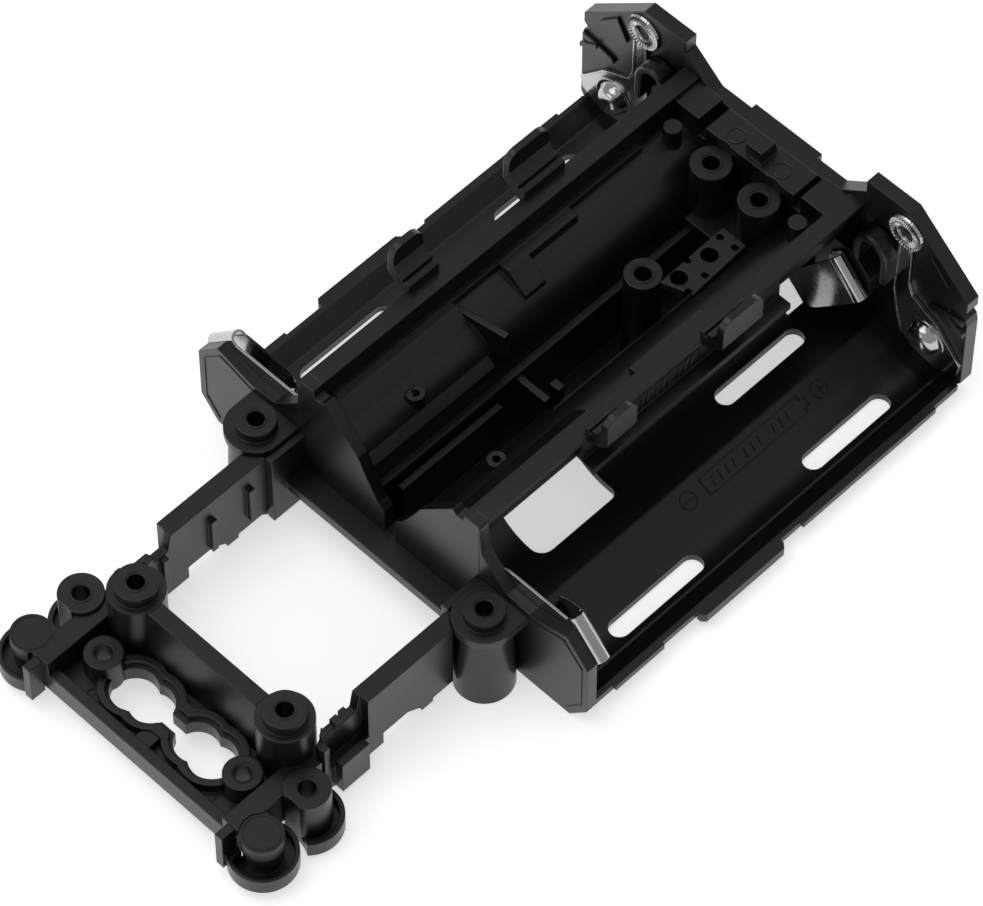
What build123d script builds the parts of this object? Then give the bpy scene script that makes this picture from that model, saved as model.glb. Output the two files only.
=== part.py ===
from build123d import *
import math
import os

# Main chassis of a small radio-controlled car, with four AAA cells lying in two side bays.
# Frame: +X to the nose, +Y to the car's left, +Z up, millimetres. The flat underside is z = 0.
# The moulding is written out region by region. Everything named "left" is mirrored to "right".

# ---- driving dimensions: cells and bays -------------------------------------------------
CELL_RADIUS = 5.25
OUTER_CELL = (20.0, 6.3)            # y, z of the lower, outer cell's axis
INNER_CELL = (9.75, 8.6)            # y, z of the inner cell's axis, under the rail
TROUGH_RADIUS = CELL_RADIUS + 0.25
SHELL = 0.9
BAY_FRONT = 8.0                     # inner face of the front end wall
BAY_REAR = -41.4                    # front face of the rear end plate
FRONT_WALL_FACE = 9.2
REAR_PLATE_BACK = -42.9
SIDE = 25.05                        # half width over the end walls
CRADLE_SIDE_Y = INNER_CELL[0] - TROUGH_RADIUS - SHELL
FACET_REAR = -7.9                   # the roof is faceted in front of this x

# ---- driving dimensions: rails, tub and rear ----------------------------------------------
RAIL_INNER = 9.6
RAIL_OUTER = 11.46
RAIL_TOP = 18.1
FLANGE = 0.7
WEB_OUTER = 10.5
HOOD = (-30.0, -4.0)                 # the web is full width and carries the hood between these x
LEDGE_TOP = 15.0
LEDGE_Y = 12.9
TUB_FLOOR = 1.6
CHANNEL_INNER = 2.5                 # inner faces of the centre channel
REAR_WALL_FRONT = -38.1
REAR_WALL_TOP = 17.0

# ---- driving dimensions: screw bosses, (x, y) on the left side and top height -------------
PILOT = 0.85
BUMPER_BOSS = (34.05, 14.62, 6.6)
KNUCKLE_BOSS = (31.7, 9.56, 11.3)
NOSE_BOSS = (36.6, 9.0, 5.6)
SERVO_BOSS = (11.8, 14.66, 11.4)
REAR_BOSS = (-36.2, 3.05, 15.8)
HORN = (39.9, 14.9, 6.1)
HORN_BOTTOM = 1.3
BOARD_BOSS = (-23.9, 0.0, 13.2)
BOARD_POST = (0.65, 5.2, 13.7)

# ---- driving dimensions: nose and side rails ----------------------------------------------
NOSE_TOP = 6.2
NOSE_BOTTOM = 2.0
NOSE_FLOOR = 3.3                    # top of the nose floor
NOSE_FRONT_TOP = 4.6
NOSE_INNER = 11.3
NOSE_OUTER = 13.5
NOSE_FRONT = (40.2, 41.3)
NOSE_REAR = (31.1, 32.8)
NOSE_REAR_TOP = 10.1
RAIL_Y = (11.7, 13.6)
RAIL_HEIGHT = 9.8

# ---- driving dimensions: sprung contacts ---------------------------------------------------
STRIP = 0.25
FOLD_RADIUS = 0.8
LEAF_WIDTH = 5.0
LEAF_LEAN = 16.0                    # degrees that a free leaf stands off its wall
LEAF_GAP = 0.06
FRONT_FOLD = (8.0, 23.2, 10.9)      # x of the wall side of the fold, y and z of its middle
REAR_FOLD = (-39.5, 12.4, 10.3)
FRONT_LEAF = 7.0
REAR_LEAF = 5.6
FOLD_SLOPE = math.degrees(math.atan2(-3.75, 3.4))

parts = {}


def block(x0, x1, y0, y1, z0, z1):
    middle = Pos((x0 + x1) / 2, (y0 + y1) / 2, (z0 + z1) / 2)
    return middle * Box(abs(x1 - x0), abs(y1 - y0), abs(z1 - z0))


def along_x(outline, x0, x1):
    """Extrude a closed (y, z) outline from x0 to x1."""
    points = [(x0, y, z) for y, z in outline]
    return extrude(make_face(Polyline(*points, close=True)), amount=x1 - x0, dir=(1, 0, 0))


def along_y(outline, y0, y1):
    """Extrude a closed (x, z) outline from y0 to y1."""
    points = [(x, y0, z) for x, z in outline]
    return extrude(make_face(Polyline(*points, close=True)), amount=y1 - y0, dir=(0, 1, 0))


def flat_plate(outline, z0, z1):
    """Extrude a closed (x, y) outline from z0 to z1."""
    points = [(x, y, z0) for x, y in outline]
    return extrude(make_face(Polyline(*points, close=True)), amount=z1 - z0, dir=(0, 0, 1))


def post(x, y, radius, z0, z1):
    return Pos(x, y, (z0 + z1) / 2) * Cylinder(radius, z1 - z0)


def taper(x, y, bottom_radius, top_radius, z0, z1):
    return Pos(x, y, (z0 + z1) / 2) * Cone(bottom_radius, top_radius, z1 - z0)


def rod_x(y, z, radius, x0, x1):
    return Pos((x0 + x1) / 2, y, z) * Rot(0, 90, 0) * Cylinder(radius, x1 - x0)


def slot_through(x0, x1, y, width, z0, z1):
    """A round-ended slot along X, as the tool that cuts it."""
    half = width / 2
    middle = block(x0 + half, x1 - half, y - half, y + half, z0, z1)
    return middle + post(x0 + half, y, half, z0, z1) + post(x1 - half, y, half, z0, z1)


def ring_sector(centre, inner, outer, start, end, x0, x1):
    """Part of a tube about an axis along X, between two angles measured in the YZ plane."""
    y, z = centre
    steps = 1 + int(abs(end - start) // 30)
    reach = outer * 1.6
    fan = [centre]
    for index in range(steps + 1):
        angle = math.radians(start + (end - start) * index / steps)
        fan.append((y + reach * math.cos(angle), z + reach * math.sin(angle)))
    tube = rod_x(y, z, outer, x0, x1) - rod_x(y, z, inner, x0 - 1, x1 + 1)
    return tube & along_x(fan, x0, x1)


def cradle_cut(x0, x1):
    """The two cradle tubes as solid bars, to trim whatever meets them."""
    bars = None
    for side in (1, -1):
        bar = rod_x(side * INNER_CELL[0], INNER_CELL[1], TROUGH_RADIUS + SHELL, x0, x1)
        bars = bar if bars is None else bars + bar
    return bars


def keep(name, shape, *clear_of):
    """Keep a piece, trimmed where it would run into pieces that are kept already."""
    for other in clear_of:
        shape = shape - parts[other]
    parts[name] = shape


def keep_both(name, shape, *clear_of):
    """Keep a left-hand piece and its mirror image."""
    for other in clear_of:
        shape = shape - parts[other]
    parts["left_" + name] = shape
    parts["right_" + name] = mirror(shape, about=Plane.XZ)


# ---- nose ---------------------------------------------------------------------------------
def nose_floor():
    """Floor of the nose box with the lobed opening for the steering gears and its raised rim."""
    floor = block(NOSE_REAR[0], NOSE_FRONT[1], -NOSE_INNER, NOSE_INNER, NOSE_BOTTOM, NOSE_FLOOR)
    lobes = [(36.6, 5.1, 2.3), (36.5, 2.9, 2.15)]
    opening = block(35.9, 37.2, -1.6, 1.6, 0, 8)
    ledge = block(35.4, 37.7, -1.6, 1.6, NOSE_FLOOR + 0.4, 8)
    rim = block(34.4, 38.7, -1.6, 1.6, NOSE_FLOOR - 0.2, NOSE_FLOOR + 1.1)
    for x, y, radius in lobes:
        for side in (1, -1):
            opening += post(x, side * y, radius, 0, 8)
            ledge += post(x, side * y, radius + 0.35, NOSE_FLOOR + 0.4, 8)
            rim += post(x, side * y, radius + 1.05, NOSE_FLOOR - 0.2, NOSE_FLOOR + 1.1)
    floor = floor + rim - opening - ledge
    for side in (1, -1):
        floor -= post(NOSE_BOSS[0], side * NOSE_BOSS[1], 1.85, -1, 8)
        floor -= post(KNUCKLE_BOSS[0], side * KNUCKLE_BOSS[1], 2.75, -1, 8)
    return floor


def nose_front_wall():
    """Low front wall of the nose box with its stiffening rib on the inner side."""
    wall = block(NOSE_FRONT[0], NOSE_FRONT[1], -NOSE_INNER, NOSE_INNER, NOSE_FLOOR, NOSE_FRONT_TOP)
    return wall + block(38.6, NOSE_FRONT[0], -1.3, 0.5, NOSE_FLOOR, NOSE_FRONT_TOP - 0.4)


def nose_rear_wall():
    """Tall rear wall of the nose box, between the two knuckle bosses, with a sloping inner web."""
    reach = KNUCKLE_BOSS[1] - 2.2
    outline = [(NOSE_REAR[0], NOSE_FLOOR), (NOSE_REAR[1] + 0.5, NOSE_FLOOR)]
    outline += [(NOSE_REAR[1], NOSE_REAR_TOP), (NOSE_REAR[0], NOSE_REAR_TOP)]
    wall = along_y(outline, -reach, reach)
    for side in (1, -1):
        wall -= post(KNUCKLE_BOSS[0], side * KNUCKLE_BOSS[1], 2.75, -1, 30)
    return wall


def nose_side_wall():
    """Side wall of the nose box, from the knuckle boss to the front corner."""
    x, y, _ = KNUCKLE_BOSS
    wall = block(NOSE_REAR[0], NOSE_FRONT[1], NOSE_INNER, NOSE_OUTER, NOSE_BOTTOM, NOSE_TOP)
    wall -= post(x, y, 2.75, -1, 20)
    for boss_x, boss_y, radius in ((BUMPER_BOSS[0], BUMPER_BOSS[1], 2.2), (HORN[0], HORN[1], 2.05)):
        wall -= post(boss_x, boss_y, radius, -1, 20)
    return wall


def nose_screw_boss():
    """Short pilot boss inside the nose box."""
    x, y, top = NOSE_BOSS
    return post(x, y, 1.85, NOSE_BOTTOM, top) - post(x, y, PILOT, -1, 20)


def front_horn():
    """Front corner post: a flat cap on a tapered stem, inside a skirt that is open to the wall."""
    x, y, top = HORN
    cap = post(x, y, 2.05, top - 1.6, top)
    cap += block(x - 1.85, x + 1.85, NOSE_OUTER, y, top - 1.6, top)
    stem = taper(x, y, 1.75, 1.9, HORN_BOTTOM, top - 1.6)
    plate = post(x, y, 3.3, HORN_BOTTOM, HORN_BOTTOM + 0.7)
    lip = post(x, y, 3.3, HORN_BOTTOM, HORN_BOTTOM + 1.8) - post(x, y, 2.9, 0, 20)
    inboard = block(x - 8, NOSE_FRONT[1], y - 8, NOSE_OUTER, -1, 20)
    skirt = plate + lip - inboard - block(x - 8, x + 8, y - 8, 12.0, -1, 20)
    toe = block(NOSE_FRONT[1], 42.9, 12.0, 12.9, HORN_BOTTOM, top)
    toe += block(NOSE_FRONT[1], 42.4, 12.9, 13.6, HORN_BOTTOM, HORN_BOTTOM + 1.8)
    return cap + stem + skirt + toe


def bumper_boss():
    """Pilot boss for the bumper screw, on a rounded foot."""
    x, y, top = BUMPER_BOSS
    body = post(x, y, 2.2, 1.4, top) + post(x, y, 3.3, 0.4, 1.4)
    body -= block(x - 8, x + 8, y - 8, NOSE_OUTER, -1, 1.4)
    lip = post(x, y, 3.3, 1.4, 2.2) - post(x, y, 2.8, 1, 5) - block(x - 8, x + 8, y - 8, NOSE_OUTER, -1, 9)
    body = body + lip
    horn_x, horn_y, _ = HORN
    return body - post(horn_x, horn_y, 4.0, -1, 20) - post(x, y, PILOT, -1, 20)


def knuckle_boss():
    """Tall pilot boss for the suspension arm: body, flange and raised collar."""
    x, y, top = KNUCKLE_BOSS
    body = post(x, y, 2.75, 0.5, top - 1.2) + post(x, y, 2.06, top - 1.2, top)
    return body - block(x - 8, x + 8, -20, -NOSE_INNER, -1, 30) - post(x, y, PILOT, -1, 20)


# ---- side rails ---------------------------------------------------------------------------
def side_rail():
    """Beam from the servo boss to the nose, stepped down at its front half, with end ribs."""
    outline = [(13.5, 1.4), (17.3, 1.4), (17.3, 0.9), (18.7, 0.9), (18.7, 1.4), (20.5, 2.6), (23.6, 2.6)]
    outline += [(23.6, 1.0), (27.0, 1.0), (27.0, 0.5), (29.2, 0.5), (31.0, 1.2), (31.0, 7.7)]
    outline += [(25.9, 7.7), (25.5, RAIL_HEIGHT), (13.5, RAIL_HEIGHT)]
    rail = along_y(outline, RAIL_Y[0], RAIL_Y[1])
    pocket = block(25.4, 30.2, RAIL_Y[0] + 0.9, RAIL_Y[1] + 1, 4.0, 12)
    rail -= pocket
    for x in (15.4, 20.2, 26.2):
        rail += block(x, x + 0.7, RAIL_Y[0] - 0.5, RAIL_Y[0], 2.8, 7.4)
    nubs = block(27.6, 28.4, RAIL_Y[0], RAIL_Y[0] + 0.8, 7.7, 8.3)
    nubs += block(29.5, 30.2, RAIL_Y[0], RAIL_Y[0] + 0.8, 7.7, 8.3)
    hook = block(26.2, 29.6, RAIL_Y[1], RAIL_Y[1] + 0.9, 0.6, 4.8)
    rail = rail + nubs + hook
    for boss in (SERVO_BOSS, KNUCKLE_BOSS):
        rail -= post(boss[0], boss[1], 3.1, -1, 30)
    return rail - post(BUMPER_BOSS[0], BUMPER_BOSS[1], 3.35, -1, 30)


def servo_boss():
    """Tapered pilot boss at the front corner of the battery bay, with flange and raised collar."""
    x, y, top = SERVO_BOSS
    body = taper(x, y, 2.95, 2.6, 0, top - 2.0)
    flange = post(x, y, 3.05, top - 2.0, top - 1.1)
    collar = post(x, y, 1.97, top - 1.1, top)
    boss = body + flange + collar
    boss += block(FRONT_WALL_FACE, x, y - 3.05, y + 3.05, top - 2.0, top - 1.1)
    boss -= block(x - 8, FRONT_WALL_FACE, y - 8, y + 8, -1, 30)
    return boss - block(x - 8, x + 8, y - 8, RAIL_Y[0], -1, 30) - post(x, y, PILOT, -1, 30)


# ---- front bulkhead and tub ----------------------------------------------------------------
def bulkhead_beam():
    """Cross beam along the front of the tub: base strip with a low front lip."""
    shelf = block(FRONT_WALL_FACE, 11.7, -RAIL_Y[0], RAIL_Y[0], 3.7, 4.9)
    for y in (-6.0, 0.0, 6.0):
        shelf += block(FRONT_WALL_FACE, 10.4, y - 0.4, y + 0.4, 1.0, 3.7)
    for side in (1, -1):
        inner, outer = sorted((side * (RAIL_Y[0] - 0.8), side * RAIL_Y[0]))
        shelf += block(FRONT_WALL_FACE, 13.5, inner, outer, 0.4, RAIL_HEIGHT)
    return shelf


def tub_front_wall():
    """Half of the front wall of the tub, cut to an open V that follows the cell cradle."""
    outline = [(0.0, 0.4), (0.0, 4.9), (0.67, 4.9), (0.67, 7.9), (1.5, 8.7), (2.24, 9.9), (3.0, 11.3)]
    outline += [(3.97, 13.3), (8.1, 17.7), (8.6, 17.2), (9.4, 17.2), (9.6, 18.1), (11.46, 18.1), (11.46, 0.4)]
    return along_x(outline, BAY_FRONT, FRONT_WALL_FACE)


def tub_floor():
    """Floor and side walls of the centre channel, with its long rib, cross bar and two stops."""
    floor = block(REAR_WALL_FRONT, BAY_FRONT, -CRADLE_SIDE_Y, CRADLE_SIDE_Y, 0, TUB_FLOOR)
    rib = block(-7.0, 6.0, -2.2, -1.5, TUB_FLOOR, 7.4)
    cross = block(-10.5, -9.8, -3.2, 1.2, TUB_FLOOR, 8.0)
    stops = block(-12.4, -11.6, 0.0, 1.2, TUB_FLOOR, 8.0) + block(-11.9, -11.1, 2.1, 3.2, TUB_FLOOR, 8.0)
    floor = floor + rib + cross + stops
    for side in (1, -1):
        inner, outer = sorted((side * CHANNEL_INNER, side * CRADLE_SIDE_Y))
        floor += block(-33.9, BAY_FRONT, inner, outer, TUB_FLOOR, INNER_CELL[1])
        floor -= post(REAR_BOSS[0], side * REAR_BOSS[1], PILOT, -1, 4)
    return floor


def board_post():
    """Small hollow locating post for the circuit board, standing on the cell cradle."""
    x, y, top = BOARD_POST
    return post(x, y, 0.9, 11.0, top) - post(x, y, 0.4, 10, 20) - cradle_cut(-2, 3)


# ---- battery bays -------------------------------------------------------------------------
def outer_trough():
    """Shallow trough of the outer cell, with the low side wall, its tabs and two long slots."""
    y, z = OUTER_CELL
    outline = [(14.1, 2.1), (16.9, 0.0), (22.7, 0.0), (24.45, 1.2), (24.45, 2.0)]
    outline += [(23.9, 2.0), (22.1, 1.1), (17.26, 1.6), (14.1, 3.0)]
    bowl = along_x(outline, BAY_REAR, BAY_FRONT) - rod_x(y, z, TROUGH_RADIUS, BAY_REAR - 1, BAY_FRONT + 1)
    for x0, x1 in ((-11.0, 0.8), (-36.4, -25.2)):
        bowl -= slot_through(x0, x1, 20.1, 2.2, -1, 4)
    tab_plan = [(-17.0, 24.2), (-5.9, 24.2), (-5.9, 24.9), (-6.3, 25.35), (-16.6, 25.35), (-17.0, 24.9)]
    below_wall = [(24.0, 0.5), (24.0, 0.99), (24.45, 1.2), (24.45, 0.5)]
    tabs = flat_plate(tab_plan, 0.85, 2.0) - along_x(below_wall, -20, 0)
    tabs += block(-1.3, 5.0, 24.4, 24.75, 1.2, 2.0) + block(-38.0, -19.9, 24.4, 24.75, 1.2, 2.0)
    return bowl + tabs


def inner_cradle():
    """Lower, inner quarter of the inner cell's cradle, with the floor window and slots."""
    shell = ring_sector(INNER_CELL, TROUGH_RADIUS, TROUGH_RADIUS + SHELL, 180, 270, BAY_REAR, BAY_FRONT)
    y, z = INNER_CELL
    low = z - TROUGH_RADIUS
    lead = [(y, low - SHELL), (14.1, 2.1), (14.1, 3.0), (y, low)]
    shell += along_x(lead, BAY_REAR, BAY_FRONT)
    shell -= block(-9.7, 0.4, 4.6, 10.8, -1, 6.2)
    shell -= slot_through(-35.0, -23.6, 10.3, 2.1, -1, 4)
    shell -= block(-38.5, -35.4, 4.9, 8.2, -1, 6.4)
    shell -= post(REAR_BOSS[0], REAR_BOSS[1], PILOT, -1, 20)
    return shell


def inner_roof():
    """Upper, inner quarter of the inner cell's cradle: a flat facet in front, round behind, with pads."""
    y, z = INNER_CELL
    outer = TROUGH_RADIUS + SHELL
    roof = ring_sector(INNER_CELL, TROUGH_RADIUS, outer, 84, 180, BAY_REAR, BAY_FRONT)
    slope = [(CRADLE_SIDE_Y, z), (CRADLE_SIDE_Y, 11.05), (8.2, 15.7), (RAIL_INNER, 15.7), (RAIL_INNER, z)]
    facet = along_x(slope, FACET_REAR, BAY_FRONT)
    roof += facet - rod_x(y, z, outer - 0.05, FACET_REAR - 1, BAY_FRONT + 1)
    pads = block(-33.0, 7.0, 8.9, RAIL_INNER, 14.0, 15.9) + block(-23.2, -14.0, 7.7, 8.9, 13.0, 15.8)
    roof += pads - rod_x(y, z, outer - 0.05, -45, 20)
    return roof - post(REAR_BOSS[0], REAR_BOSS[1], PILOT, -1, 20)


def roof_gusset():
    """Thin angled gusset and a sloping rest that only the right-hand roof carries."""
    y, z = INNER_CELL
    outline = [(-5.6, 15.2), (0.0, 15.2), (0.0, 12.3), (-0.7, 11.0), (-1.6, 9.5), (-5.6, 9.5)]
    gusset = Pos(-8.7, -2.9, 0) * Rot(0, 0, 8.7) * along_x(outline, -0.6, 0)
    rest = [(-8.9, 13.0), (-8.9, 15.8), (-7.7, 15.8), (-5.5, 13.9), (-5.5, 13.0)]
    shape = gusset + along_x(rest, -16.7, -14.0)
    return shape - rod_x(-y, z, TROUGH_RADIUS + SHELL - 0.05, -45, 20)


def inner_rail():
    """Rail along the top of the inner wall: a thin flange on a web, thick where the clips and hood are."""
    y, z = INNER_CELL
    outer = TROUGH_RADIUS + SHELL
    rail = block(BAY_REAR, BAY_FRONT, RAIL_INNER, RAIL_OUTER, RAIL_TOP - FLANGE, RAIL_TOP)
    rail += block(BAY_REAR, BAY_FRONT, RAIL_INNER, WEB_OUTER, z + outer - 0.55, RAIL_TOP - FLANGE)
    rail += block(HOOD[0], HOOD[1], RAIL_INNER, RAIL_OUTER, 14.2, RAIL_TOP - FLANGE)
    rail += block(HOOD[0], HOOD[1], RAIL_OUTER, LEDGE_Y, LEDGE_TOP - 0.8, LEDGE_TOP)
    return rail - rod_x(y, z, outer, BAY_REAR - 1, FRONT_WALL_FACE + 1)


def cell_clip(x0, x1):
    """Retaining clip: a low grooved foot on the rail and an upright fin over the inner cell."""
    outline = [(RAIL_OUTER, 17.4), (RAIL_OUTER, RAIL_TOP), (11.1, RAIL_TOP), (11.1, 19.2)]
    outline += [(12.6, 19.75), (13.1, 20.4), (13.2, 22.5), (13.95, 22.5), (13.95, 19.1), (13.3, 18.4)]
    tab = along_x(outline, x0, x1)
    corner = 1.2
    tongue = block(x0, x1, 10, 16, 16, 22.5 - corner) + block(x0 + corner, x1 - corner, 10, 16, 16, 22.5)
    for x in (x0 + corner, x1 - corner):
        tongue += Pos(x, 13, 22.5 - corner) * Rot(90, 0, 0) * Cylinder(corner, 6)
    return (tab & tongue) - block(x0 - 1, x1 + 1, 11.65, 11.95, 19.0, 21)


def front_end_wall():
    """Front wall of a battery bay."""
    outline = [(11.46, 0.4), (11.46, 18.1), (11.8, 14.1), (14.9, 11.0), (17.8, 10.8), (22.4, 12.2)]
    outline += [(SIDE, 9.3), (SIDE, 2.6), (22.9, 0.0), (16.0, 0.0)]
    return along_x(outline, BAY_FRONT, FRONT_WALL_FACE)


def rear_end_plate():
    """Tall faceted plate that closes the rear of a battery bay."""
    outline = [(11.5, 2.0), (11.5, 21.6), (16.8, 21.6), (24.5, 14.8), (24.5, 13.5), (23.9, 12.9), (24.5, 12.3)]
    outline += [(24.7, 11.4), (24.7, 2.6), (22.9, 0.0), (16.0, 0.0)]
    plate = along_x(outline, REAR_PLATE_BACK, BAY_REAR)
    rib = along_x([(22.4, 12.0), (24.6, 10.6), (24.6, 10.0), (22.4, 11.4)], BAY_REAR, BAY_REAR + 0.5)
    return plate + rib


def rear_inner_wall():
    """Rear wall behind the inner cell, with the stop pad that carries its spring contact."""
    wall = along_x([(4.2, 0.0), (4.2, 17.0), (11.5, 17.0), (11.5, 0.0)], REAR_PLATE_BACK, BAY_REAR)
    outline = [(7.6, 5.6), (7.6, 11.4), (9.6, 13.0), (12.2, 13.0), (14.4, 10.6), (14.4, 8.4), (12.6, 5.6)]
    pad = along_x(outline, BAY_REAR, REAR_FOLD[0])
    web = along_x([(7.8, 16.9), (11.5, 20.0), (11.5, 16.9)], REAR_PLATE_BACK, BAY_REAR)
    return wall + web + pad


# ---- rear of the tub ----------------------------------------------------------------------
def rear_wall():
    """Rear wall of the tub: stepped top with two notches, and the locating lug of the motor mount."""
    outline = [(-3.4, 0), (3.4, 0), (3.4, 8.6), (9.6, 8.6), (9.6, 17.6), (6.5, 17.6), (6.5, 15.2), (5.6, 15.2)]
    outline += [(5.6, REAR_WALL_TOP), (-5.6, REAR_WALL_TOP), (-5.6, 15.2), (-6.5, 15.2), (-6.5, 17.6)]
    outline += [(-9.6, 17.6), (-9.6, 8.6), (-3.4, 8.6)]
    wall = along_x(outline, BAY_REAR, REAR_WALL_FRONT)
    wall -= block(BAY_REAR - 1, REAR_WALL_FRONT - 1.2, -3.4, 3.4, -1, 14.0)
    wall -= cradle_cut(BAY_REAR - 1, REAR_WALL_FRONT + 1)
    for side in (1, -1):
        wall -= post(REAR_BOSS[0], side * REAR_BOSS[1], 2.05, -1, 30)
    top = REAR_WALL_TOP
    return wall + along_y([(-40.9, top - 0.2), (-38.6, top - 0.2), (-38.6, 18.5), (-40.5, 18.5)], -1.0, 1.0)


def rear_tab():
    """Motor mount tab that overhangs the rear wall."""
    tab = block(REAR_PLATE_BACK - 0.6, BAY_REAR, -4.2, 4.2, 14.2, REAR_WALL_TOP)
    step = block(REAR_PLATE_BACK, BAY_REAR, -4.2, 4.2, 0, 14.2)
    return tab + step


def rear_deck():
    """Raised deck in front of the rear wall that carries the two gearbox screw bosses."""
    deck = block(REAR_WALL_FRONT, -33.2, -5.2, 5.2, 8.6, 9.8) - cradle_cut(-45, -30)
    for side in (1, -1):
        deck -= post(REAR_BOSS[0], side * REAR_BOSS[1], 2.05, 5, 30)
    return deck


def rear_screw_boss():
    """Teardrop pilot boss for the gearbox, joined to the rear wall."""
    x, y, top = REAR_BOSS
    boss = post(x, y, 2.05, TUB_FLOOR, top) + block(REAR_WALL_FRONT, x, y - 0.9, y + 0.9, 9.8, top)
    return boss - cradle_cut(-45, -30) - post(x, y, PILOT, -1, 30)


def rear_locating_post():
    """Solid locating post beside the gearbox boss."""
    return post(-36.1, 7.95, 0.9, 12.0, 17.0) - cradle_cut(-45, -30)


def board_boss():
    x, y, top = BOARD_BOSS
    return post(x, y, 1.83, TUB_FLOOR, top) - post(x, y, PILOT, 3, 30)


def perforated_strip():
    """Perforated bracket strip behind the board boss, on two short legs."""
    strip = flat_plate([(-24.3, 1.8), (-25.4, 5.0), (-33.0, 4.6), (-33.0, 1.6)], 12.2, 13.2)
    strip -= post(-25.9, 2.7, 0.85, 10, 20) + post(-29.8, 2.9, 0.85, 10, 20)
    for x, y in ((-27.9, 1.9), (-27.8, 4.2), (-32.0, 2.2), (-32.1, 4.0), (-25.4, 4.4)):
        strip -= post(x, y, 0.35, 10, 20)
    strip -= post(BOARD_BOSS[0], BOARD_BOSS[1], 1.85, 0, 30)
    legs = block(-33.0, -32.2, 1.6, 2.6, TUB_FLOOR, 12.2)
    return strip + legs - cradle_cut(-45, -20)


# ---- contacts -----------------------------------------------------------------------------
def fold_line(y, z, drop):
    """The two ends of a contact's slanted fold line, lowered along the strip by drop."""
    angle = math.radians(FOLD_SLOPE)
    along = (math.cos(angle), math.sin(angle))
    middle = (y + drop * math.sin(angle), z - drop * math.cos(angle))
    ends = []
    for sign in (-1, 1):
        half = sign * LEAF_WIDTH / 2
        ends.append((middle[0] + half * along[0], middle[1] + half * along[1]))
    return ends


def fold(x_wall, y, z, towards):
    """Half-round fold of a sprung contact, its axis along the slanted fold line, with a short leg."""
    frame = Pos(x_wall + towards * FOLD_RADIUS, y, z) * Rot(FOLD_SLOPE, 0, 0)
    ring = Cylinder(FOLD_RADIUS, LEAF_WIDTH) - Cylinder(FOLD_RADIUS - STRIP, LEAF_WIDTH + 1)
    ring -= Pos(0, -FOLD_RADIUS, 0) * Box(3, 2 * FOLD_RADIUS, LEAF_WIDTH + 1)
    leg = Pos(towards * (STRIP / 2 - FOLD_RADIUS), 0, -0.3) * Box(STRIP, LEAF_WIDTH, 0.6)
    return frame * (Rot(90, 0, 0) * ring + leg)


def leaf(x_wall, y, z, towards, length):
    """Free leg of a sprung contact, from the fold down to the cell, with its curled end."""
    hinge = Pos(x_wall + towards * (2 * FOLD_RADIUS - STRIP / 2), y, z) * Rot(FOLD_SLOPE, 0, 0)
    lean = Rot(0, -towards * LEAF_LEAN, 0)
    blade = Pos(0, 0, -length / 2 - LEAF_GAP) * Box(STRIP, LEAF_WIDTH, length)
    curl = Pos(-towards * 0.5, 0, -length - LEAF_GAP) * Rot(0, towards * 50, 0) * Box(STRIP, LEAF_WIDTH, 1.2)
    return hinge * (lean * (blade + curl))


def front_link_contact():
    """Link plate on the front wall: joins the inner cell's plus to the outer cell's minus."""
    x = BAY_FRONT
    outline = [(6.2, 5.4), (6.2, 11.8), (8.6, 12.5), (21.2, 12.5)]
    outline += fold_line(FRONT_FOLD[1], FRONT_FOLD[2], 0.3)
    outline += [(22.6, 7.0), (14.0, 7.0), (12.6, 5.0)]
    plate = along_x(outline, x - STRIP, x)
    dimple = Pos(x - STRIP, *INNER_CELL) * Rot(0, -90, 0) * Pos(0, 0, 0.45) * Cone(1.8, 1.1, 0.9)
    return plate + dimple + fold(*FRONT_FOLD, -1)


def rear_negative_contact():
    """Base plate of the inner cell's minus contact, on its stop pad, with the fold."""
    x = REAR_FOLD[0]
    outline = [(9.5, 6.6), (9.5, 10.9)] + fold_line(REAR_FOLD[1], REAR_FOLD[2], 0.3) + [(12.0, 6.4)]
    return along_x(outline, x, x + STRIP) + fold(x, REAR_FOLD[1], REAR_FOLD[2], 1)


def rear_positive_contact():
    """Plus contact of the outer cell: solder ring, neck, plate and pressed dome."""
    x = BAY_REAR
    ring = rod_x(16.45, 18.7, 2.2, x, x + STRIP)
    neck = along_x([(15.5, 17.6), (15.5, 10.0), (17.4, 4.0), (22.0, 2.4), (24.9, 4.4), (24.9, 5.9), (21.4, 9.3),
                    (17.6, 10.8), (17.5, 17.4)], x, x + STRIP)
    dome = Pos(x + STRIP, OUTER_CELL[0], OUTER_CELL[1]) * Rot(0, 90, 0) * Pos(0, 0, 0.6) * Cone(1.9, 1.0, 1.2)
    return ring + neck + dome - rod_x(16.45, 18.7, 0.9, x - 1, x + 1)


# ---- keep every piece ---------------------------------------------------------------------
keep("nose_floor", nose_floor())
keep("nose_front_wall", nose_front_wall(), "nose_floor")
keep("nose_rear_wall", nose_rear_wall(), "nose_floor")
keep_both("nose_screw_boss", nose_screw_boss())
keep_both("nose_side_wall", nose_side_wall())
keep_both("front_horn", front_horn())
keep_both("bumper_boss", bumper_boss())
keep_both("knuckle_boss", knuckle_boss())
keep_both("side_rail", side_rail())
keep_both("servo_boss", servo_boss())
keep("tub_floor", tub_floor())
keep_both("outer_trough", outer_trough())
keep_both("inner_cradle", inner_cradle(), "tub_floor")
keep_both("inner_roof", inner_roof())
parts["right_inner_roof"] = parts["right_inner_roof"] + roof_gusset()
keep_both("inner_rail", inner_rail())
keep_both("tub_front_wall", tub_front_wall())
keep_both("front_end_wall", front_end_wall())
keep("bulkhead_beam", bulkhead_beam())
keep_both("board_post", board_post(), "left_inner_roof")
keep_both("front_cell_clip", cell_clip(-8.4, -4.6))
keep_both("rear_cell_clip", cell_clip(-24.9, -19.6))
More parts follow.
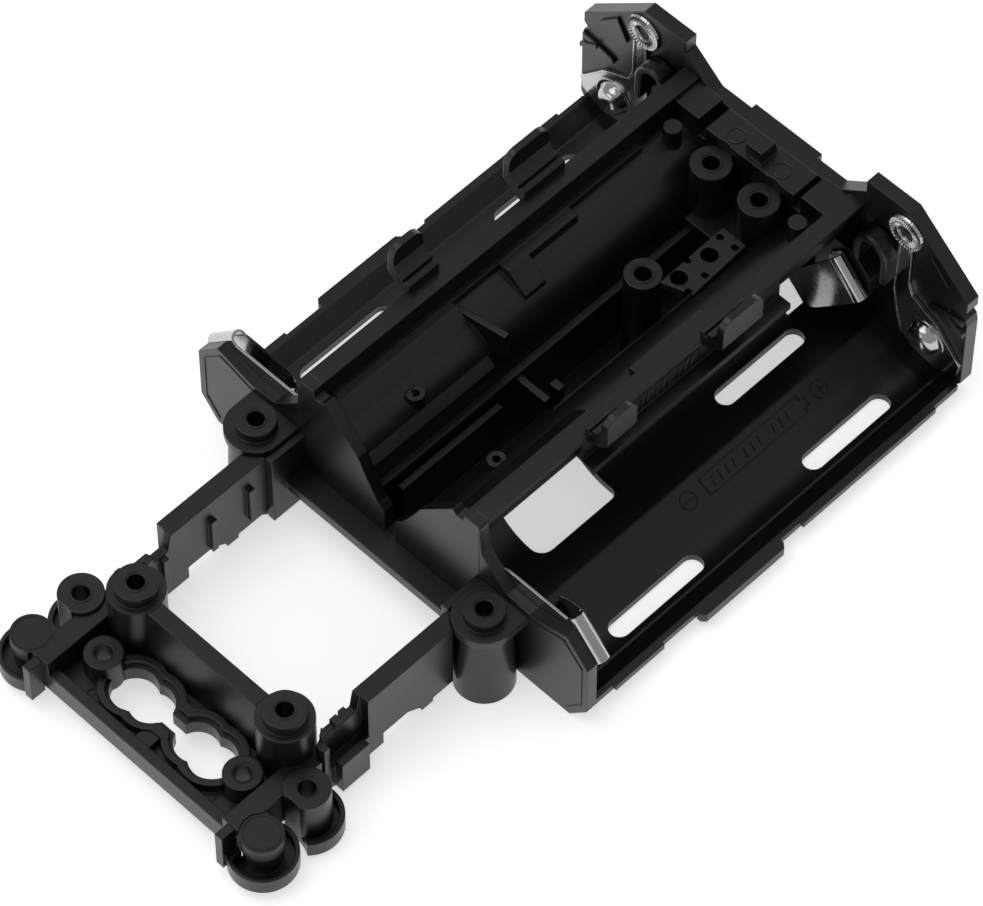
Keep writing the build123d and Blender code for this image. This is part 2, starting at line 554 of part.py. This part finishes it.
keep_both("rear_end_plate", rear_end_plate())
keep_both("rear_inner_wall", rear_inner_wall())
keep("rear_wall", rear_wall(), "left_inner_cradle", "right_inner_cradle", "left_inner_rail", "right_inner_rail")
keep("rear_tab", rear_tab())
keep("rear_deck", rear_deck())
keep_both("rear_screw_boss", rear_screw_boss())
keep_both("rear_locating_post", rear_locating_post())
keep("board_boss", board_boss())
keep("perforated_strip", perforated_strip(), "tub_floor")
keep_both("front_link_contact", front_link_contact())
keep_both("front_spring_leaf", leaf(*FRONT_FOLD, -1, FRONT_LEAF))
keep_both("rear_positive_contact", rear_positive_contact())
keep_both("rear_negative_contact", rear_negative_contact())
keep_both("rear_spring_leaf", leaf(*REAR_FOLD, 1, REAR_LEAF))

os.makedirs("parts", exist_ok=True)
for name, shape in parts.items():
    export_step(shape, f"parts/{name}.step")
print(len(parts), "nodes")
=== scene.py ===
"""Small radio-controlled car chassis: black moulding with nickel-plated battery contacts.

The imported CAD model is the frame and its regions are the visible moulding: their edges are rounded
in the shading only. The plus contacts and the free legs of the sprung contacts are replaced by finer
pieces, and the raised marks, small mouldings and rounded window corners are added.
Shapes are given in millimetres in the frame of the CAD model, and lights and the table in metres.
"""
import math

import bmesh
import bpy
from mathutils import Matrix, Vector

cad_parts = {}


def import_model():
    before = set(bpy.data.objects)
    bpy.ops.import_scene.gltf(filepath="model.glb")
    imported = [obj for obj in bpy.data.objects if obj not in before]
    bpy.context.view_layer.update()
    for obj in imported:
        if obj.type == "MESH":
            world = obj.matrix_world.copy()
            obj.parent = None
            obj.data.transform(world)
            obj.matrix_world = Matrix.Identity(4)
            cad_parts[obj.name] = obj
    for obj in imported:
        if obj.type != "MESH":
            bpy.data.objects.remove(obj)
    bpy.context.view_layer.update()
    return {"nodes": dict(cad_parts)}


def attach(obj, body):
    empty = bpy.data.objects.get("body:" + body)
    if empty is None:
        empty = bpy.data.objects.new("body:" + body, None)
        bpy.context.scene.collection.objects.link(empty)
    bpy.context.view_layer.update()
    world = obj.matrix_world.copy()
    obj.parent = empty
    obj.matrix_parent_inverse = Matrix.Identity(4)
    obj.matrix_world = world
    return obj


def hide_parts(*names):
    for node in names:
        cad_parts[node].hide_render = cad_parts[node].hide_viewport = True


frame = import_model()
nodes = frame["nodes"]

MM = 0.001
SIDES = (("left", 1), ("right", -1))

# ---- shared places of the CAD model, in millimetres ------------------------------------------
REAR_PLATE_FACE = -41.4         # x of the front face of the tall rear plates
FRONT_WALL_FACE = 9.2           # x of the outer face of the front end walls
RAIL_FACE = 11.46               # y of the left rail's outer face
BAND = (15.68, 2.3)             # y, z of the middle of the sloping band beside the outer cell
BAND_ACROSS = (0.0, -3.16, 1.4)
CRADLE_AXIS = (9.75, 8.6)       # y, z of the inner cell's axis
CRADLE_RADIUS = 5.5
CRADLE_SHELL = 0.9
WINDOW_X = (-9.7, 0.4)
WINDOW_ARC = (-1.05, 6.15)      # along the cradle's inner surface, from straight under its axis
FRONT_FOLD = (8.0, 23.2, 10.9)  # x of the wall side of the fold, y and z of its middle
REAR_FOLD = (-39.5, 12.4, 10.3)
FOLD_SLOPE = math.atan2(-3.75, 3.4)
FOLD_RADIUS = 0.8
STRIP = 0.25                    # thickness of the contact strips
LEAF_WIDTH = 5.0
LEAF_LEAN = math.radians(16.0)
FRONT_LEAF = 7.0                # lengths of the free legs
REAR_LEAF = 5.6

# ---- raised marks, in millimetres ------------------------------------------------------------
STROKE = 0.16
RAISED = (-0.08, 0.12)          # from below the surface to the top of a mark
SIGN_RADIUS = 0.95
SIGN_HALF = 0.5                 # half length of the strokes of the plus and minus signs
MINUS_AT = 14.1                 # distances behind x = 0
PLUS_AT = 31.8

# ---- picture ---------------------------------------------------------------------------------
FLOOR_GLOW = 0.56               # keeps the lit table white, with soft shadows near the part
FLOOR_HALF = 1.2                # metres
FLOOR_DROP = 0.02               # millimetres under the part
WORLD_LIGHT = 0.42
WORLD_SEEN = 0.95
SENSOR = 36.0
LENS = 212.887080366
VIEW_DISTANCE = 533.3           # millimetres
VIEW_SHIFT = (11.093, 11.245)
VIEW_TARGET = (11.8, 0.0, 1.0)


def mm(*values):
    return Vector([v * MM for v in values])


# ---- materials ------------------------------------------------------------------------------
def new_material(name):
    material = bpy.data.materials.new(name)
    material.use_nodes = True
    tree = material.node_tree
    tree.nodes.clear()
    out = tree.nodes.new("ShaderNodeOutputMaterial")
    shader = tree.nodes.new("ShaderNodeBsdfPrincipled")
    tree.links.new(shader.outputs["BSDF"], out.inputs["Surface"])
    return material, tree, shader


def noise(tree, coords, scale, detail, roughness=0.5):
    node = tree.nodes.new("ShaderNodeTexNoise")
    node.inputs["Scale"].default_value = scale
    node.inputs["Detail"].default_value = detail
    node.inputs["Roughness"].default_value = roughness
    tree.links.new(coords.outputs["Object"], node.inputs["Vector"])
    return node


def remap(tree, source, low, high, start=0.3, stop=0.7):
    node = tree.nodes.new("ShaderNodeMapRange")
    node.inputs["From Min"].default_value = start
    node.inputs["From Max"].default_value = stop
    node.inputs["To Min"].default_value = low
    node.inputs["To Max"].default_value = high
    tree.links.new(source, node.inputs["Value"])
    return node


def skin(name, dark, light, scales, edge, bump_strength, bump_depth):
    """A material with mottled colour, edges rounded in the shading and a fine grain."""
    material, tree, shader = new_material(name)
    coords = tree.nodes.new("ShaderNodeTexCoord")
    broad = noise(tree, coords, scales[0], 3.0)
    fine = noise(tree, coords, scales[1], 2.0)
    colour = tree.nodes.new("ShaderNodeMix")
    colour.data_type = "RGBA"
    colour.inputs["A"].default_value = dark
    colour.inputs["B"].default_value = light
    tree.links.new(broad.outputs["Fac"], colour.inputs["Factor"])
    tree.links.new(colour.outputs["Result"], shader.inputs["Base Color"])
    bevel = tree.nodes.new("ShaderNodeBevel")
    bevel.samples = 6
    bevel.inputs["Radius"].default_value = edge * MM
    bump = tree.nodes.new("ShaderNodeBump")
    bump.inputs["Strength"].default_value = bump_strength
    bump.inputs["Distance"].default_value = bump_depth * MM
    tree.links.new(fine.outputs["Fac"], bump.inputs["Height"])
    tree.links.new(bevel.outputs["Normal"], bump.inputs["Normal"])
    tree.links.new(bump.outputs["Normal"], shader.inputs["Normal"])
    return material, tree, shader, broad, fine


def black_plastic():
    """Moulded black ABS: satin skin with faint flow mottling."""
    dark = (0.0030, 0.0030, 0.0032, 1.0)
    light = (0.0046, 0.0046, 0.0049, 1.0)
    name = "moulded_black_plastic"
    material, tree, shader, broad, _ = skin(name, dark, light, (90.0, 5200.0), 0.16, 0.12, 0.02)
    rough = remap(tree, broad.outputs["Fac"], 0.30, 0.38)
    tree.links.new(rough.outputs["Result"], shader.inputs["Roughness"])
    shader.inputs["IOR"].default_value = 1.5
    shader.inputs["Specular IOR Level"].default_value = 0.5
    return material


def plated_metal():
    """Nickel-plated spring strip, faintly drawn."""
    dark = (0.42, 0.415, 0.40, 1.0)
    light = (0.56, 0.55, 0.53, 1.0)
    name = "nickel_plated_strip"
    material, tree, shader, _, grain = skin(name, dark, light, (260.0, 3000.0), 0.07, 0.08, 0.01)
    rough = remap(tree, grain.outputs["Fac"], 0.10, 0.20)
    tree.links.new(rough.outputs["Result"], shader.inputs["Roughness"])
    shader.inputs["Metallic"].default_value = 1.0
    return material


PLASTIC = black_plastic()
METAL = plated_metal()


def give(obj, material):
    obj.data.materials.clear()
    obj.data.materials.append(material)


for name, node in nodes.items():
    metal = "contact" in name or "spring_leaf" in name
    give(node, METAL if metal else PLASTIC)


# ---- mesh helpers -----------------------------------------------------------------------------
def place_on(origin, u, v):
    """A function that turns plane coordinates (a, b, height) in mm into a point in metres."""
    u = Vector(u).normalized()
    v = Vector(v).normalized()
    normal = u.cross(v)
    start = Vector(origin)
    return lambda a, b, h=0.0: (start + u * a + v * b + normal * h) * MM


def add_prism(bm, at, outline, low, high):
    """A closed prism over a plane outline, listed anticlockwise."""
    bottom = [bm.verts.new(at(a, b, low)) for a, b in outline]
    top = [bm.verts.new(at(a, b, high)) for a, b in outline]
    bm.faces.new(top)
    bm.faces.new(list(reversed(bottom)))
    count = len(outline)
    for i in range(count):
        j = (i + 1) % count
        bm.faces.new((bottom[i], bottom[j], top[j], top[i]))


def add_turned(bm, at, centre, profile, steps=40, ripple=0.0, teeth=0):
    """A closed solid turned about the plane's normal from a closed (radius, height) profile."""
    rows = []
    for i in range(steps):
        angle = 2 * math.pi * i / steps
        lift = ripple * (0.5 + 0.5 * math.cos(teeth * angle)) if teeth else 0.0
        row = []
        for k, (radius, height) in enumerate(profile):
            raised = height + (lift if height > 0 and radius > profile[0][0] else 0.0)
            a = centre[0] + radius * math.cos(angle)
            b = centre[1] + radius * math.sin(angle)
            row.append(bm.verts.new(at(a, b, raised)))
        rows.append(row)
    for i in range(steps):
        here, there = rows[i], rows[(i + 1) % steps]
        for k in range(len(profile)):
            m = (k + 1) % len(profile)
            bm.faces.new((here[k], there[k], there[m], here[m]))


def add_dome(bm, at, centre, stations, steps=40):
    """A closed dome: stations are (radius, height) from the rim to the crown."""
    rings = []
    for radius, height in stations:
        ring = []
        for i in range(steps):
            angle = 2 * math.pi * i / steps
            a = centre[0] + radius * math.cos(angle)
            b = centre[1] + radius * math.sin(angle)
            ring.append(bm.verts.new(at(a, b, height)))
        rings.append(ring)
    for low, high in zip(rings, rings[1:]):
        for i in range(steps):
            j = (i + 1) % steps
            bm.faces.new((low[i], low[j], high[j], high[i]))
    bm.faces.new(rings[-1])
    bm.faces.new(list(reversed(rings[0])))


def add_strip(bm, stations, across, thickness):
    """A strip swept along (point, half width) stations; across is its width direction, all in mm."""
    across = Vector(across).normalized()
    rows = []
    count = len(stations)
    for i, (point, half) in enumerate(stations):
        before = Vector(stations[max(i - 1, 0)][0])
        after = Vector(stations[min(i + 1, count - 1)][0])
        normal = (after - before).normalized().cross(across) * (thickness / 2)
        middle = Vector(point)
        corners = (middle - across * half - normal, middle + across * half - normal,
                   middle + across * half + normal, middle - across * half + normal)
        rows.append([bm.verts.new(corner * MM) for corner in corners])
    for here, there in zip(rows, rows[1:]):
        for k in range(4):
            m = (k + 1) % 4
            bm.faces.new((here[k], here[m], there[m], there[k]))
    bm.faces.new(list(reversed(rows[0])))
    bm.faces.new(rows[-1])


def on_side(bm, side):
    """The mesh as made for the left-hand side, or mirrored for the right."""
    if side < 0:
        for vert in bm.verts:
            vert.co.y = -vert.co.y
        bmesh.ops.reverse_faces(bm, faces=bm.faces)
    return bm


def piece(name, bm, body, material, replaced=(), edge=0.0):
    """Turn the mesh into a piece of the object that rides on a body, with a small moulded edge."""
    bmesh.ops.recalc_face_normals(bm, faces=bm.faces)
    mesh = bpy.data.meshes.new(name)
    bm.to_mesh(mesh)
    bm.free()
    obj = bpy.data.objects.new(name, mesh)
    bpy.context.scene.collection.objects.link(obj)
    if edge:
        bevel = obj.modifiers.new("edge", "BEVEL")
        bevel.width = edge * MM
        bevel.segments = 2
        bevel.limit_method = "ANGLE"
        bevel.angle_limit = math.radians(40)
    give(obj, material)
    for polygon in mesh.polygons:
        polygon.use_smooth = True
    smooth_by_angle(mesh)
    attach(obj, body)
    if replaced:
        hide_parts(*replaced)


def smooth_by_angle(mesh, degrees=35.0):
    """Mark the edges that turn sharply, so that only gentle ones are shaded round."""
    work = bmesh.new()
    work.from_mesh(mesh)
    for edge in work.edges:
        if len(edge.link_faces) == 2 and edge.calc_face_angle() > math.radians(degrees):
            edge.smooth = False
    work.to_mesh(mesh)
    work.free()


def bar(a0, b0, a1, b1, width):
    """Outline of a straight stroke between two points of a plane."""
    along = Vector((a1 - a0, b1 - b0)).normalized()
    side = Vector((-along.y, along.x)) * (width / 2)
    return [(a0 - side.x, b0 - side.y), (a1 - side.x, b1 - side.y), (a1 + side.x, b1 + side.y),
            (a0 + side.x, b0 + side.y)]


def add_line(bm, at, points, width, low, high):
    """Straight strokes from each point of a plane to the next."""
    for (a0, b0), (a1, b1) in zip(points, points[1:]):
        add_prism(bm, at, bar(a0, b0, a1, b1, width), low, high)


# ---- raised marks -------------------------------------------------------------------------------
def add_bars(bm, at, groups, pitch, half, slant, width, depth):
    """Groups of slanted strokes: each group is the place of its first stroke and their number."""
    for first, count in groups:
        for i in range(count):
            a = first + i * pitch
            add_prism(bm, at, bar(a, -half, a + slant, half, width), *depth)


def polarity_marks(side):
    """Minus and plus rings, a cell outline and plain bars, raised on the band beside the outer cell."""
    bm = bmesh.new()
    at = place_on((0.0, *BAND), (-1.0, 0.0, 0.0), BAND_ACROSS)
    inner = SIGN_RADIUS - STROKE
    low, high = RAISED
    for a in (MINUS_AT, PLUS_AT):
        add_turned(bm, at, (a, 0.0), [(inner, low), (SIGN_RADIUS, low), (SIGN_RADIUS, high), (inner, high)])
        add_prism(bm, at, bar(a - SIGN_HALF, 0.0, a + SIGN_HALF, 0.0, STROKE), low, high)
    add_prism(bm, at, bar(PLUS_AT, -SIGN_HALF, PLUS_AT, SIGN_HALF, STROKE), low, high)
    half, knob, start, shoulder, end = 0.92, 0.45, 16.2, 29.4, 30.0
    outline = [(start, -half), (start, half), (shoulder, half), (shoulder, knob), (end, knob), (end, -knob),
               (shoulder, -knob), (shoulder, -half), (start, -half)]
    add_line(bm, at, outline, STROKE * 0.8, low, high)
    add_bars(bm, at, ((17.2, 4), (21.6, 3), (25.4, 3)), 0.95, 0.5, 0.25, STROKE, RAISED)
    return on_side(bm, side)


def rail_panel(side):
    """Shallow panel with plain bars on the rail's outer face, between the two cell clips."""
    bm = bmesh.new()
    at = place_on((0.0, RAIL_FACE, 16.3), (-1.0, 0.0, 0.0), (0.0, 0.0, 1.0))
    start, end, half = 9.2, 19.2, 1.0
    depth = (-0.06, 0.12)
    outline = [(start, -half), (end, -half), (end, half), (start, half), (start, -half)]
    add_line(bm, at, outline, 0.12, *depth)
    add_bars(bm, at, ((9.9, 4), (13.5, 3), (16.4, 3)), 0.8, 0.75, 0.3, 0.26, depth)
    return on_side(bm, side)


# ---- contacts -----------------------------------------------------------------------------------
def plus_contact(side):
    """Rear plus contact: serrated solder ring, bent neck with rolled edges, flange and pressed dome."""
    bm = bmesh.new()
    at = place_on((REAR_PLATE_FACE, 0.0, 0.0), (0.0, 1.0, 0.0), (0.0, 0.0, 1.0))
    ring = [(0.85, 0.02), (0.95, 0.32), (1.15, 0.20), (1.7, 0.18), (1.95, 0.32), (2.05, 0.02)]
    add_turned(bm, at, (16.7, 18.7), ring, steps=144, ripple=0.08, teeth=36)
    neck = [(16.1, 17.1), (15.8, 9.8), (16.3, 7.0), (17.2, 4.0), (18.9, 2.8), (21.8, 2.3), (24.3, 3.8),
            (24.5, 5.3), (21.5, 8.9), (18.3, 10.5), (17.75, 12.0), (17.75, 17.1)]
    add_prism(bm, at, neck, 0.02, STRIP)
    outer_edge = [(17.65, 16.9), (17.65, 12.0), (18.2, 10.5), (21.4, 8.9), (24.5, 5.3)]
    inner_edge = [(16.2, 16.9), (15.9, 9.8), (16.4, 7.0), (17.3, 4.0)]
    add_line(bm, at, outer_edge, 0.2, 0.05, 0.42)
    add_line(bm, at, inner_edge, 0.2, 0.05, 0.36)
    stations = [(2.35, 0.1), (2.35, 0.34), (2.0, 0.38), (1.85, 0.30), (1.75, 0.45)]
    for i in range(9):
        angle = math.radians(10 + 75 * i / 8)
        stations.append((0.4 + 1.25 * math.cos(angle), 0.45 + 1.0 * math.sin(angle)))
    add_dome(bm, at, (20.1, 5.7), stations)
    return on_side(bm, side)


def fold_frame(fold, side):
    """The point in the middle of a fold line, the line's direction and the way down the strip."""
    line = Vector((0.0, side * math.cos(FOLD_SLOPE), math.sin(FOLD_SLOPE)))
    down = Vector((0.0, side * math.sin(FOLD_SLOPE), -math.cos(FOLD_SLOPE)))
    return Vector((fold[0], side * fold[1], fold[2])), line, down


def leaf_strip(fold, towards, length, side):
    """Free leg of a sprung contact: leans off its wall, bows gently and curls back at a rounded end."""
    bm = bmesh.new()
    middle, line, down = fold_frame(fold, side)
    out = Vector((float(towards), 0.0, 0.0))
    start = middle + out * (2 * FOLD_RADIUS - STRIP / 2)
    lean = down * math.cos(LEAF_LEAN) + out * math.sin(LEAF_LEAN)
    stations = []
    steps = 14
    for i in range(steps + 1):
        t = i / steps
        along = 0.06 + t * length
        bow = 0.12 * math.sin(math.pi * t)
        half = LEAF_WIDTH / 2 - 0.35 * t - (0.5 * max(0.0, t - 0.85) / 0.15) ** 2 * 2.0
        stations.append((start + lean * along + out * bow, half))
    end, half = stations[-1]
    for i in range(1, 5):
        angle = math.radians(14 * i)
        end = end + (lean * math.cos(angle) - out * math.sin(angle)) * 0.28
        stations.append((end, half - 0.12 * i))
    add_strip(bm, stations, line, STRIP)
    return bm


# ---- mouldings that the plain regions leave out -------------------------------------------------
def ring_mark(bm, place, radius, width=0.14, high=0.05):
    """A low ring on an up-facing face."""
    at = place_on(place, (1.0, 0.0, 0.0), (0.0, 1.0, 0.0))
    profile = [(radius - width, -0.05), (radius, -0.05), (radius, high), (radius - width, high)]
    add_turned(bm, at, (0, 0), profile, steps=36)


def top_marks():
    """Round marks left by ejector pins and locating pins on the up-facing faces."""
    bm = bmesh.new()
    boss_tops = ((34.05, 14.62, 6.6, 1.1), (31.7, 9.56, 11.3, 1.12), (36.6, 9.0, 5.6, 1.1),
                 (11.8, 14.66, 11.4, 1.12), (-36.2, 3.05, 15.8, 1.15))
    for side in (1, -1):
        ring_mark(bm, (-39.5, side * 2.9, 17.0), 0.95, 0.12, 0.06)
        ring_mark(bm, (39.9, side * 14.9, 6.1), 1.8, 0.1)
        ring_mark(bm, (39.4, side * 7.4, 3.3), 0.8, 0.12, 0.06)
        for x, y, z, radius in boss_tops:
            ring_mark(bm, (x, side * y, z), radius)
    ring_mark(bm, (-23.9, 0.0, 13.2), 1.15)
    return bm


def end_wall_line(side):
    """Thin raised line that follows the outline of the front end wall."""
    bm = bmesh.new()
    at = place_on((FRONT_WALL_FACE, 0.0, 0.0), (0.0, 1.0, 0.0), (0.0, 0.0, 1.0))
    line = [(15.2, 10.2), (17.8, 10.0), (22.0, 11.3), (24.3, 8.9), (24.3, 3.0), (22.6, 0.8)]
    add_line(bm, at, line, 0.14, -0.05, 0.08)
    return on_side(bm, side)


def rear_plate_marks(side):
    """Triangular pad and slot rib on the front face of the tall rear plate."""
    bm = bmesh.new()
    at = place_on((REAR_PLATE_FACE, 0.0, 0.0), (0.0, 1.0, 0.0), (0.0, 0.0, 1.0))
    pad = [(18.6, 15.5), (22.3, 15.6), (20.0, 18.0)]
    rib = [(20.4, 10.6), (24.4, 11.4), (24.4, 12.2), (20.6, 11.5), (20.2, 11.1)]
    add_prism(bm, at, pad, -0.05, 0.3)
    add_prism(bm, at, rib, -0.05, 0.35)
    return on_side(bm, side)


def pad_arch(side):
    """Rounded arch moulded over the stop pad at the rear of the inner cell."""
    bm = bmesh.new()
    x, half = -40.4, 0.95
    stations = [((x, 12.3, 12.2), half)]
    for i in range(21):
        angle = math.pi * i / 20
        stations.append(((x, 14.0 - 1.7 * math.cos(angle), 14.4 + 2.0 * math.sin(angle)), half))
    stations.append(((x, 15.7, 11.4), half))
    add_strip(bm, stations, (1.0, 0.0, 0.0), 0.8)
    return on_side(bm, side)


def on_cradle(x, along, depth):
    """A point in the wall of the inner cradle: flat beyond the lowest line, round towards the centre."""
    y, z = CRADLE_AXIS
    if along < 0:
        return mm(x, y - along, z - CRADLE_RADIUS - depth)
    angle = along / CRADLE_RADIUS
    reach = CRADLE_RADIUS + depth
    return mm(x, y - reach * math.sin(angle), z - reach * math.cos(angle))


def add_corner(bm, corner, step_x, step_b, radius, steps=8):
    """Fill one square corner of the floor window with a concave quarter round."""
    a, b = corner
    rows = []
    for i in range(steps + 1):
        angle = math.pi / 2 * i / steps
        x = a + step_x * radius * (1 - math.sin(angle))
        rows.append((x, b + step_b * radius * (1 - math.cos(angle))))
    tops = [bm.verts.new(on_cradle(x, along, 0.0)) for x, along in rows]
    lows = [bm.verts.new(on_cradle(x, along, CRADLE_SHELL)) for x, along in rows]
    top = bm.verts.new(on_cradle(a, b, 0.0))
    low = bm.verts.new(on_cradle(a, b, CRADLE_SHELL))
    for i in range(steps):
        bm.faces.new((top, tops[i], tops[i + 1]))
        bm.faces.new((low, lows[i + 1], lows[i]))
        bm.faces.new((tops[i], lows[i], lows[i + 1], tops[i + 1]))
    bm.faces.new((top, low, lows[0], tops[0]))
    bm.faces.new((top, tops[-1], lows[-1], low))


def window_corners(side):
    """Rounded corners of the large window in the inner cradle's floor."""
    bm = bmesh.new()
    for a, step_x, radius in ((WINDOW_X[0], 1, 0.9), (WINDOW_X[1], -1, 1.4)):
        add_corner(bm, (a, WINDOW_ARC[0]), step_x, 1, radius)
        add_corner(bm, (a, WINDOW_ARC[1]), step_x, -1, radius)
    return on_side(bm, side)


def plastic_piece(name, bm, edge=0.0):
    piece(name, bm, "chassis", PLASTIC, edge=edge)


for word, side in SIDES:
    plastic_piece(word + "_polarity_marks", polarity_marks(side))
    plastic_piece(word + "_rail_panel", rail_panel(side))
    plastic_piece(word + "_end_wall_line", end_wall_line(side))
    plastic_piece(word + "_rear_plate_marks", rear_plate_marks(side), edge=0.05)
    plastic_piece(word + "_pad_arch", pad_arch(side), edge=0.2)
    plastic_piece(word + "_window_corners", window_corners(side))
    piece(word + "_plus_contact_detail", plus_contact(side), "chassis", METAL,
          (word + "_rear_positive_contact",), edge=0.0)
    piece(word + "_front_leaf_strip", leaf_strip(FRONT_FOLD, -1, FRONT_LEAF, side), word + "_front_leaf",
          METAL, (word + "_front_spring_leaf",), edge=0.05)
    piece(word + "_rear_leaf_strip", leaf_strip(REAR_FOLD, 1, REAR_LEAF, side), word + "_rear_leaf",
          METAL, (word + "_rear_spring_leaf",), edge=0.05)
plastic_piece("moulded_ring_marks", top_marks())


# ---- stage, light, camera ---------------------------------------------------------------------
def floor():
    """The white table under the part."""
    mesh = bpy.data.meshes.new("floor")
    half = FLOOR_HALF
    corners = [(-half, -half, 0), (half, -half, 0), (half, half, 0), (-half, half, 0)]
    mesh.from_pydata(corners, [], [(0, 1, 2, 3)])
    obj = bpy.data.objects.new("floor", mesh)
    bpy.context.scene.collection.objects.link(obj)
    obj.location.z = -FLOOR_DROP * MM
    material, tree, shader = new_material("pale_floor")
    coords = tree.nodes.new("ShaderNodeTexCoord")
    cloud = noise(tree, coords, 14.0, 2.0)
    shade = remap(tree, cloud.outputs["Fac"], 0.90, 0.92)
    tree.links.new(shade.outputs["Result"], shader.inputs["Base Color"])
    shader.inputs["Roughness"].default_value = 0.7
    shader.inputs["Specular IOR Level"].default_value = 0.1
    shader.inputs["Emission Color"].default_value = (1.0, 1.0, 1.0, 1.0)
    shader.inputs["Emission Strength"].default_value = FLOOR_GLOW
    give(obj, material)


def area_light(name, position, target, width, height, power):
    """A rectangular lamp: positions and sizes in metres, power in watts."""
    data = bpy.data.lights.new(name, "AREA")
    data.shape = "RECTANGLE"
    data.size = width
    data.size_y = height
    data.energy = power
    obj = bpy.data.objects.new(name, data)
    bpy.context.scene.collection.objects.link(obj)
    obj.location = position
    direction = Vector(target) - Vector(position)
    obj.rotation_euler = direction.to_track_quat("-Z", "Y").to_euler()


def world():
    """Even white light all round, brighter to the camera than to the part."""
    scene_world = bpy.data.worlds.new("studio")
    bpy.context.scene.world = scene_world
    scene_world.use_nodes = True
    tree = scene_world.node_tree
    background = tree.nodes["Background"]
    background.inputs["Color"].default_value = (1.0, 1.0, 1.0, 1.0)
    rays = tree.nodes.new("ShaderNodeLightPath")
    strength = remap(tree, rays.outputs["Is Camera Ray"], WORLD_LIGHT, WORLD_SEEN, 0.0, 1.0)
    tree.links.new(strength.outputs["Result"], background.inputs["Strength"])
    view = bpy.context.scene.view_settings
    view.view_transform = "Standard"
    view.look = "None"


def camera():
    """The calibrated viewpoint."""
    azimuth, elevation, roll = math.radians(134.513), math.radians(55.542), math.radians(0.125)
    right = Vector((math.cos(azimuth), math.sin(azimuth), 0.0))
    up = Vector((-right.y * math.sin(elevation), right.x * math.sin(elevation), math.cos(elevation)))
    back = right.cross(up)
    right_rolled = math.cos(roll) * right + math.sin(roll) * up
    up_rolled = -math.sin(roll) * right + math.cos(roll) * up
    shift = right_rolled * VIEW_SHIFT[0] + up_rolled * VIEW_SHIFT[1]
    place = shift + back * VIEW_DISTANCE + Vector(VIEW_TARGET)
    data = bpy.data.cameras.new("camera")
    data.sensor_width = SENSOR
    data.lens = LENS
    data.clip_start = 0.01
    data.clip_end = 20.0
    obj = bpy.data.objects.new("camera", data)
    bpy.context.scene.collection.objects.link(obj)
    rotation = Matrix((right_rolled, up_rolled, back)).transposed().to_4x4()
    obj.matrix_world = Matrix.Translation(place * MM) @ rotation
    bpy.context.scene.camera = obj


floor()
world()
camera()
area_light("overhead", (0.15, -0.25, 0.85), (0, 0, 0), 0.7, 0.7, 2.0)
area_light("front", (0.7, -0.25, 0.28), (0, 0, 0.01), 0.45, 0.3, 0.5)
area_light("rear", (-0.6, -0.2, 0.22), (0, 0, 0.01), 0.5, 0.25, 0.5)
